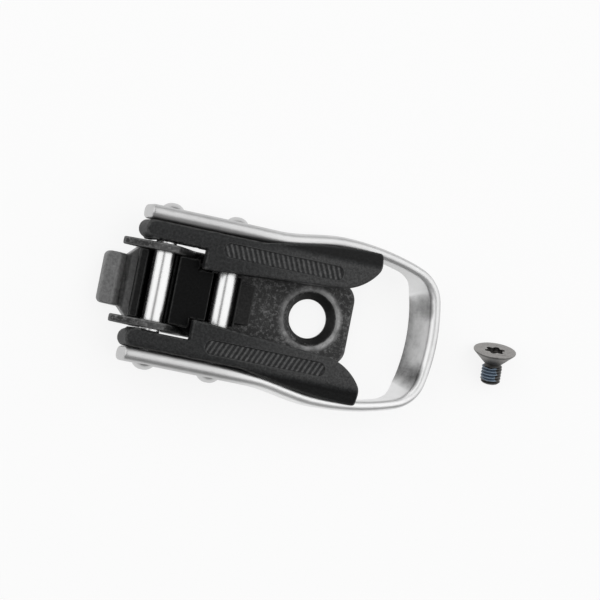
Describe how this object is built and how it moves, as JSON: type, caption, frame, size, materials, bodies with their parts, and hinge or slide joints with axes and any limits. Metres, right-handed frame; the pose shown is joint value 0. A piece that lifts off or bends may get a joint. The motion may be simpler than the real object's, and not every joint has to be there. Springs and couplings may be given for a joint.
{
  "type": "boot buckle lever",
  "caption": "Over-centre boot buckle: a U-shaped lever with black grips swings on a steel base bracket, with its loose countersunk mounting screw.",
  "frame": {"origin": "centre of the screw hole on the underside of the base bracket", "axes": "+X along the lever to its loop end, +Y to the left grip, +Z away from the boot"},
  "size_m": [0.1067, 0.042, 0.0138],
  "materials": {
    "coated_steel": "black coating, grainy, worn to bare metal at edges",
    "satin_aluminium": "satin",
    "grip_plastic": "fine moulded texture",
    "block_plastic": "smooth",
    "rivet_metal": "satin",
    "polished_steel": "polished",
    "screw_steel": "dark zinc",
    "patch_nylon": "matte"
  },
  "bodies": {
    "base": {"base_bracket": "coated_steel"},
    "lever": {"lever_frame": "satin_aluminium", "grip_left": "grip_plastic", "grip_right": "grip_plastic", "pin_block": "block_plastic", "pivot_rivet": "rivet_metal", "strap_rivet": "rivet_metal"},
    "pivot_sleeve": {"pivot_sleeve": "polished_steel"},
    "strap_sleeve": {"strap_sleeve": "polished_steel"},
    "screw": {"mounting_screw": "screw_steel", "thread_patch": "patch_nylon"}
  },
  "joints": [
    {"name": "lever_pivot", "type": "hinge", "parent": "base", "child": "lever", "pos_m": [-0.0407, 0, 0.0095], "axis": [0, -1, 0], "range_deg": [0, 150]},
    {"name": "pivot_sleeve_turn", "type": "hinge", "parent": "lever", "child": "pivot_sleeve", "pos_m": [-0.0407, 0, 0.0095], "axis": [0, 1, 0], "continuous": true},
    {"name": "strap_sleeve_turn", "type": "hinge", "parent": "lever", "child": "strap_sleeve", "pos_m": [-0.0241, 0, 0.0085], "axis": [0, 1, 0], "continuous": true},
    {"name": "screw_lift", "type": "slide", "parent": "base", "child": "screw", "axis": [0, 0, 1], "range_m": [0, 0.04]}
  ]
}
